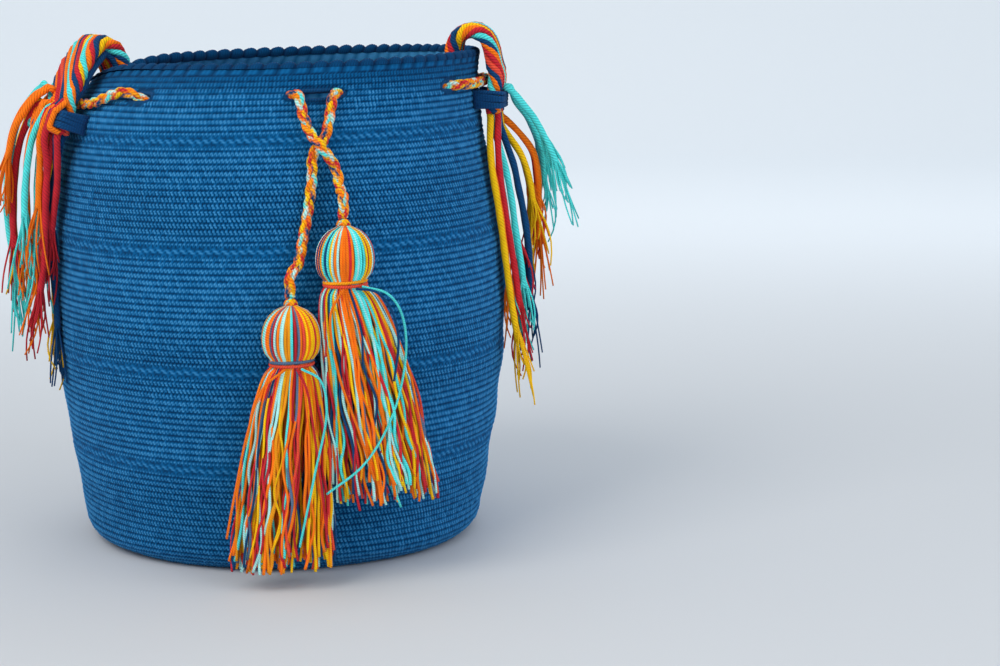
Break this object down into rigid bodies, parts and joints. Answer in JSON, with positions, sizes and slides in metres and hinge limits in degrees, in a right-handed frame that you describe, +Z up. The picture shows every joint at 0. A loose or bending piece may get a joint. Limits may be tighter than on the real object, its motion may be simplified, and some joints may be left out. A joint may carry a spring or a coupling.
{
  "type": "mochila bag",
  "caption": "Crocheted bucket bag with a flat round base, scalloped rim, braided drawstring with hanging tassels, and a woven shoulder strap stowed inside.",
  "frame": {"origin": "middle of the flat base, on the ground", "axes": "+Z up, -Y towards the front where the drawstring is tied, +X to the right of the front"},
  "size_m": [0.3226, 0.2931, 0.3037],
  "materials": {
    "blue_yarn": "matte crocheted cotton yarn, royal blue",
    "mixed_yarn": "matte cotton yarns of mixed colours, braided or hanging loose",
    "strap_yarn": "matte twisted cotton cords, laid obliquely",
    "navy_yarn": "matte cotton yarn, navy",
    "orange_yarn": "matte twisted cotton yarn, orange",
    "turquoise_yarn": "matte twisted cotton yarn, turquoise",
    "red_yarn": "matte twisted cotton yarn, red",
    "yellow_yarn": "matte twisted cotton yarn, yellow"
  },
  "bodies": {
    "bag": {"bag_body": "blue_yarn", "drawstring": "mixed_yarn", "strap": "strap_yarn", "strap_lashing_left": "navy_yarn", "strap_lashing_right": "navy_yarn", "fringe_left_turquoise_arc": "turquoise_yarn", "fringe_left_orange_outer": "orange_yarn", "fringe_left_red_outer": "red_yarn", "fringe_left_orange_thick": "orange_yarn", "fringe_left_turquoise_middle": "turquoise_yarn", "fringe_left_red_middle": "red_yarn", "fringe_left_red_inner": "red_yarn", "fringe_left_navy_inner": "navy_yarn", "fringe_right_yellow_front": "yellow_yarn", "fringe_right_red_front": "red_yarn", "fringe_right_turquoise_front": "turquoise_yarn", "fringe_right_navy_thick": "navy_yarn", "fringe_right_yellow_short": "yellow_yarn", "fringe_right_orange_rear": "orange_yarn", "fringe_right_turquoise_outer": "turquoise_yarn", "fringe_right_turquoise_rear": "turquoise_yarn"},
    "tassel_left": {"tassel_left_yarns": "mixed_yarn", "tassel_left_binding": "navy_yarn", "tassel_left_top_knot": "mixed_yarn"},
    "tassel_right": {"tassel_right_yarns": "mixed_yarn", "tassel_right_binding": "navy_yarn", "tassel_right_top_knot": "mixed_yarn"}
  },
  "joints": [
    {"name": "tassel_left_swing", "type": "hinge", "parent": "bag", "child": "tassel_left", "pos_m": [0.01821, -0.14415, 0.156], "axis": [-0.9921, -0.1253, 0], "range_deg": [0, 60]},
    {"name": "tassel_right_swing", "type": "hinge", "parent": "bag", "child": "tassel_right", "pos_m": [0.04657, -0.13759, 0.1983], "axis": [-0.9472, -0.3206, 0], "range_deg": [0, 60]}
  ]
}
